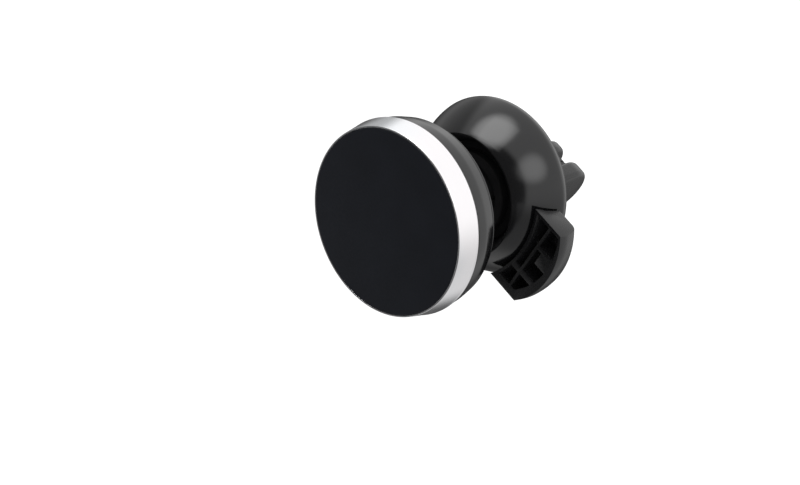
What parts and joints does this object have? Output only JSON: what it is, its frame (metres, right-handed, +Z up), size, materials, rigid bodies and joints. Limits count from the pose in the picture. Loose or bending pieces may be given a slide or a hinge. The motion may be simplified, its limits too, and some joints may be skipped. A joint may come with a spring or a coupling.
{
  "type": "car phone mount",
  "caption": "Magnetic car vent phone mount: a round pad head on a ball joint in a domed housing, with a sprung lever clip at the back.",
  "frame": {"origin": "middle of the closed jaws' gap, near the middle of the jaws' round tips, where a vent blade is gripped", "axes": "+Y runs from the phone pad back to the clip, along the head's axis at rest; -Y faces the user and the phone; +Z is up"},
  "size_m": [0.0457, 0.0579, 0.0425],
  "materials": {
    "pad_rubber": "smooth dark soft-touch disc with a very fine grain",
    "tape": "thin double-sided tape",
    "ring_metal": "satin, pearly bright",
    "tray_plastic": "satin moulded",
    "magnet_nickel": "nickel plated",
    "plate_steel": "plated sheet steel",
    "screw_steel": "dark zinc",
    "head_plastic": "satin gloss, moulded",
    "stud_plastic": "glossy, hard",
    "washer_nylon": "natural nylon",
    "socket_nylon": "satin, slightly waxy",
    "seal_rubber": "plain black rubber",
    "housing_gloss": "glossy moulded shell",
    "clip_plastic": "satin moulded",
    "jaw_rubber": "ribbed grip rubber",
    "pin_steel": "ground pin and clips",
    "spring_steel": "drawn wire"
  },
  "bodies": {
    "housing": {"housing_front": "housing_gloss", "housing_rear": "housing_gloss", "housing_screws": "screw_steel", "upper_jaw": "clip_plastic", "jaw_screws": "screw_steel", "upper_jaw_pad": "jaw_rubber", "pivot_pin": "pin_steel", "pin_clips": "pin_steel", "torsion_spring": "spring_steel"},
    "socket": {"socket_cup": "socket_nylon", "socket_grip_ring": "seal_rubber"},
    "stud": {"ball_stud": "stud_plastic", "stud_screw": "screw_steel", "stud_washer": "pin_steel", "friction_washer": "washer_nylon"},
    "head": {"face_pad": "pad_rubber", "pad_adhesive": "tape", "trim_ring": "ring_metal", "magnet_tray": "tray_plastic", "disc_magnets": "magnet_nickel", "flux_plate": "plate_steel", "head_shell": "head_plastic", "head_screws": "screw_steel", "head_back_cover": "head_plastic"},
    "lever": {"clip_lever": "clip_plastic", "lower_jaw_pad": "jaw_rubber"}
  },
  "joints": [
    {"name": "socket_turn", "type": "hinge", "parent": "housing", "child": "socket", "pos_m": [-0.00222, -0.0221, 0.00154], "axis": [0, 1, 0], "continuous": true},
    {"name": "head_tilt", "type": "hinge", "parent": "socket", "child": "stud", "pos_m": [-0.00222, -0.0221, 0.00154], "axis": [1, 0, 0], "range_deg": [-28, 28]},
    {"name": "head_spin", "type": "hinge", "parent": "stud", "child": "head", "pos_m": [-0.00222, -0.0396, 0.00154], "axis": [0, 1, 0], "continuous": true},
    {"name": "lever_press", "type": "hinge", "parent": "housing", "child": "lever", "pos_m": [0.00814, -0.0201, -0.00564], "axis": [-0.5693, 0, -0.8221], "range_deg": [0, 15], "stiffness_Nm_per_rad": 0.12, "springref_deg": -28.65, "deforming": ["torsion_spring"]}
  ]
}
